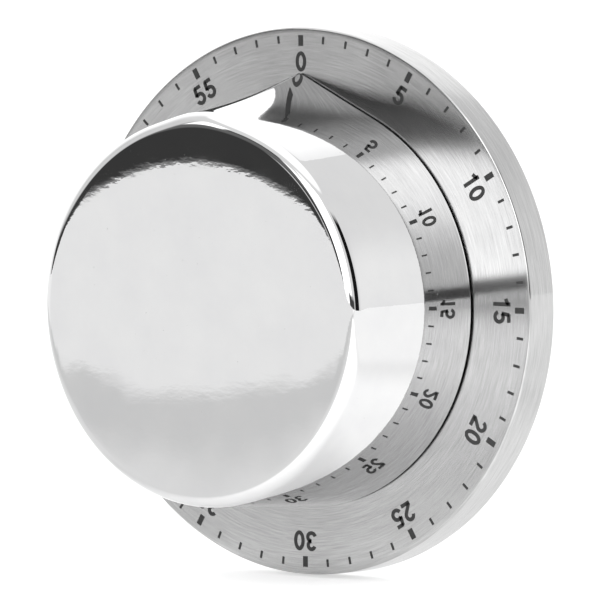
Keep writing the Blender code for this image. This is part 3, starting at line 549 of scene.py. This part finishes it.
def make_pan(look):
    """The steel dial: one sheet, drawn down into a shallow side wall with a rounded edge."""
    obj = turned("dial_steel_pan", pan_profile())
    obj.data.set_sharp_from_angle(angle=math.radians(40))
    obj.data.materials.append(look)
    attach(obj, "body")
    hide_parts("dial_bezel")


# ---- Dial print ----


def bow(centre, radii, start, end, count):
    """Points on an ellipse, from one angle to another, in degrees anticlockwise from the right."""
    points = []
    for i in range(count + 1):
        angle = math.radians(start + (end - start) * i / count)
        points.append((centre[0] + radii[0] * math.cos(angle), centre[1] + radii[1] * math.sin(angle)))
    return points


def digit_strokes(digit):
    """Centre lines of one digit in a box as wide as a digit and 1 high, inset by half a stroke."""
    low, top = HALF_STROKE, 1 - HALF_STROKE
    middle = DIGIT_WIDTH / 2
    if digit == "0":
        return [bow((middle, 0.5), (0.225, 0.5 - low), 0, 360, 40)]
    if digit == "1":
        stem = [(0.40, 0.0), (0.40, 1.0)]
        flag = [(0.40, 0.90), (0.30, 0.79), (0.13, 0.73)]
        return [stem, flag]
    if digit == "2":
        crown = bow((0.32, 0.68), (0.215, top - 0.68), 172, -38, 20)
        foot = [(0.045, low), (0.60, low)]
        return [crown + [(0.10, 0.13)], foot]
    if digit == "3":
        upper = bow((0.305, 0.705), (0.20, top - 0.705), 165, -90, 20)
        lower = bow((0.305, 0.30), (0.225, 0.30 - low), 90, -168, 22)
        return [upper, lower]
    if digit == "4":
        stem = [(0.45, 0.0), (0.45, 1.0)]
        slant = [(0.42, 0.93), (0.10, 0.33)]
        bar = [(0.03, 0.27), (0.62, 0.27)]
        return [stem, slant, bar]
    # 5, the only other digit on the dial
    head = [(0.57, top), (0.16, top)]
    neck = [(0.20, top + 0.03), (0.135, 0.48)]
    bowl = bow((0.305, 0.335), (0.235, 0.335 - low), 138, -165, 24)
    return [head, neck, bowl]


def ribbon(bm, line, half, to_dial):
    """A flat stroke of even width along a line, added to the mesh through a function from drawing to dial."""
    sides = []
    closed = math.dist(line[0], line[-1]) < 1e-6
    first, last = (line[-2], line[1]) if closed else (line[0], line[-1])
    befores, afters = [first, *line[:-1]], [*line[1:], last]
    for (x, y), before, after in zip(line, befores, afters):
        forward = Vector((after[0] - before[0], after[1] - before[1])).normalized() * half
        sides.append([(x - forward.y, y + forward.x), (x + forward.y, y - forward.x)])
    verts = [[bm.verts.new(to_dial(*spot)) for spot in pair] for pair in sides]
    for (a, b), (c, d) in zip(verts, verts[1:]):
        bm.faces.new((a, c, d, b))


def on_dial(clock, x, y):
    """A point x across and y outward, in millimetres, turned to this clock angle on the dial's face."""
    across, out = polar(1.0, clock + math.pi / 2), polar(1.0, clock)
    return ((x * across[0] + y * out[0]) * MM, -(DIAL_DEPTH + INK) * MM, (x * across[1] + y * out[1]) * MM)


def print_piece(name, bm, look):
    """A thin layer of ink on the dial, from flat faces that are turned to the front."""
    bmesh.ops.recalc_face_normals(bm, faces=bm.faces)
    for face in bm.faces:
        if face.normal.y > 0:
            face.normal_flip()
    mesh = bpy.data.meshes.new(name)
    bm.to_mesh(mesh)
    bm.free()
    mesh.materials.append(look)
    obj = bpy.data.objects.new(name, mesh)
    bpy.context.scene.collection.objects.link(obj)
    thickness = obj.modifiers.new("ink_thickness", "SOLIDIFY")
    thickness.thickness = INK * MM
    thickness.offset = -1.0
    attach(obj, "body")


def make_ticks(look):
    """A tick for each minute, longer and wider at each fifth."""
    bm = bmesh.new()
    for minute in range(60):
        width, length = MINOR_TICK if minute % 5 else MAJOR_TICK
        clock = minute * MINUTE
        line = [(0.0, TICK_OUTER - length), (0.0, TICK_OUTER)]
        ribbon(bm, line, width / 2, lambda x, y, clock=clock: on_dial(clock, x, y))
    print_piece("dial_ticks", bm, look)


def make_numerals(look):
    """The minutes in fives, their tops outward."""
    bm = bmesh.new()
    for minute in range(0, 60, 5):
        text = str(minute)
        clock = minute * MINUTE
        for order, digit in enumerate(text):
            shift = (order - (len(text) - 1) / 2) * DIGIT_PITCH

            def to_dial(x, y, clock=clock, shift=shift):
                across = (x - DIGIT_WIDTH / 2 + shift) * NUMERAL_HEIGHT
                return on_dial(clock, across, NUMERAL_CENTRE + (y - 0.5) * NUMERAL_HEIGHT)

            for line in digit_strokes(digit):
                ribbon(bm, line, HALF_STROKE, to_dial)
    print_piece("dial_numerals", bm, look)


# ---- The rest of the timer ----


def dress_nodes(chrome_look, brushed_look):
    """Gives every node of the frame the material of its slot, and smooths its round faces."""
    looks = {
        "chrome": chrome_look,
        "brushed_steel": brushed_look,
        "black_plastic": moulded("black_moulding", 0.012, 0.028, 0.5),
        "white_plastic": moulded("white_moulding", 0.62, 0.74, 0.42),
        "brass": sheet_metal("stamped_brass", (0.55, 0.38, 0.13, 1), (0.80, 0.62, 0.30, 1), 0.28),
        "steel": sheet_metal("zinc_plated_steel", grey(0.42), grey(0.62), 0.3),
        "spring_steel": sheet_metal("blued_spring", (0.05, 0.07, 0.14, 1), (0.20, 0.24, 0.36, 1), 0.3),
        "bell_steel": sheet_metal("nickel_bell", (0.58, 0.56, 0.50, 1), (0.78, 0.76, 0.71, 1), 0.14),
        "ferrite": ferrite(),
    }
    slot_of = {entry["node"]: entry["material_slot"] for entry in frame["record"]["subparts"]}
    for name, obj in frame["nodes"].items():
        for slot in obj.material_slots:
            slot.material = looks[slot_of[name]]
        obj.data.shade_smooth()
        obj.data.set_sharp_from_angle(angle=math.radians(30))


# ---- Studio ----


def floor_shade(tree, spot):
    """How much painted shade darkens the floor: a band with a wavy edge, laid where the dial mirrors it,
    lighter close by.
    """
    ahead = along(tree, spot, MIRRORED)
    aside = along(tree, spot, LEFT_OF_MIRRORED)
    streaks = joined(tree, times(tree, aside, 45.0), times(tree, ahead, 5.0), 0.0)
    waves = noise(tree, streaks, scale=1.0, detail=2.0, roughness=0.5)
    wavy = plus(tree, ahead, times(tree, math_node(tree, "SUBTRACT", waves, 0.5), 0.16))
    # painted shade: a darker band on the floor, put there so that the dial and face mirror it
    painted_shade_band = step(tree, wavy, (0.30, 0.38), (1.0, 0.0))
    return times(tree, painted_shade_band, step(tree, wavy, (0.08, 0.24), (0.3, 1.0)))


def floor_glow(tree, spot):
    """Painted glow on the floor, with no lamp under it, which lifts out the timer's contact shadow: a strip
    from the timer toward the viewer, and less beside and behind it.
    """
    toward = along(tree, spot, TOWARD_CAMERA)
    across = along(tree, spot, RIGHT_OF_CAMERA)
    foot = step(tree, toward, (-0.08, -0.04), (0.0, 0.46))
    ahead_of_foot = step(tree, toward, (0.02, 0.10), (0.0, 0.7))
    left_edge = step(tree, across, (-0.06, -0.03))
    right_edge = step(tree, across, (0.05, 0.09), (1.0, 0.0))
    end = step(tree, toward, (0.5, 0.8), (1.0, 0.0))
    limits = times(tree, times(tree, left_edge, right_edge), end)
    strip = times(tree, plus(tree, foot, ahead_of_foot), limits)
    beside = step(tree, across, (0.05, 0.11), (0.0, 0.32))
    behind = step(tree, toward, (-0.1, -0.05), (0.12, 0.0))
    return plus(tree, strip, math_node(tree, "MAXIMUM", beside, behind))


def make_floor():
    """A wide pale floor that fades into the backdrop."""
    bm = bmesh.new()
    bmesh.ops.create_circle(bm, cap_ends=True, segments=64, radius=FLOOR_RADIUS)
    mesh = bpy.data.meshes.new("floor")
    bm.to_mesh(mesh)
    bm.free()
    material, tree, shader = tree_of("pale_floor")
    spot = place(tree)
    # grey(0.66) is the painted shade of that band on the floor
    color = blend_colors(tree, floor_shade(tree, spot), grey(0.89), grey(0.66))
    link(tree, color, shader.inputs["Base Color"])
    # painted light: the floor itself glows here, to hide the shadow under the timer
    link(tree, floor_glow(tree, spot), shader.inputs["Emission Strength"])
    shader.inputs["Emission Color"].default_value = grey(1.0)
    shader.inputs["Roughness"].default_value = 0.9
    shader.inputs["Specular IOR Level"].default_value = 0.0
    mesh.materials.append(material)
    obj = bpy.data.objects.new("floor", mesh)
    obj.location = (0, 0, FLOOR_HEIGHT)
    bpy.context.scene.collection.objects.link(obj)


def make_world():
    """A white studio: a bright window in front, a dark room to its left and a large light overhead."""
    world = bpy.data.worlds.new("studio")
    world.use_nodes = True
    tree = world.node_tree
    background = tree.nodes["Background"]
    x, y, z = split(tree, tree.nodes.new("ShaderNodeTexCoord").outputs["Generated"])
    azimuth = math_node(tree, "ARCTAN2", x, times(tree, y, -1.0))

    light = grey(OPEN_WALL)
    for brightness, azimuths, heights, soft in CARDS:
        sides = [math.radians(angle) for angle in azimuths]
        mask = times(tree, band(tree, azimuth, sides, soft[0]), band(tree, z, heights, soft[1]))
        light = blend_colors(tree, mask, light, grey(brightness))
    link(tree, light, background.inputs["Color"])
    background.inputs["Strength"].default_value = 1.0
    bpy.context.scene.world = world


def make_camera():
    """The camera, at its distance from the dial's centre and rolled a little."""
    azimuth, elevation = CAMERA_AZIMUTH, CAMERA_ELEVATION
    level = math.cos(elevation)
    back = Vector((math.sin(azimuth) * level, -math.cos(azimuth) * level, math.sin(elevation)))
    right = Vector((0, 0, 1)).cross(back).normalized()
    up = back.cross(right)
    rolled_right = right * math.cos(CAMERA_ROLL) + up * math.sin(CAMERA_ROLL)
    rolled_up = up * math.cos(CAMERA_ROLL) - right * math.sin(CAMERA_ROLL)
    data = bpy.data.cameras.new("camera")
    data.lens = LENS
    data.sensor_width = SENSOR
    data.shift_x, data.shift_y = SHIFT
    data.clip_start = 0.05
    data.clip_end = 60.0
    camera = bpy.data.objects.new("camera", data)
    turn = Matrix((rolled_right, rolled_up, back)).transposed().to_4x4()
    centre = Vector((0, -DIAL_DEPTH * MM, 0))
    camera.matrix_world = Matrix.Translation(centre + back * CAMERA_DISTANCE) @ turn
    bpy.context.scene.collection.objects.link(camera)
    bpy.context.scene.camera = camera


chrome_look = chrome()
brushed_look = brushed()
ink_look = ink()
make_knob(chrome_look)
make_pan(brushed_look)
make_ticks(ink_look)
make_numerals(ink_look)
dress_nodes(chrome_look, brushed_look)
make_floor()
make_world()
make_camera()
bpy.context.scene.view_settings.view_transform = "Standard"
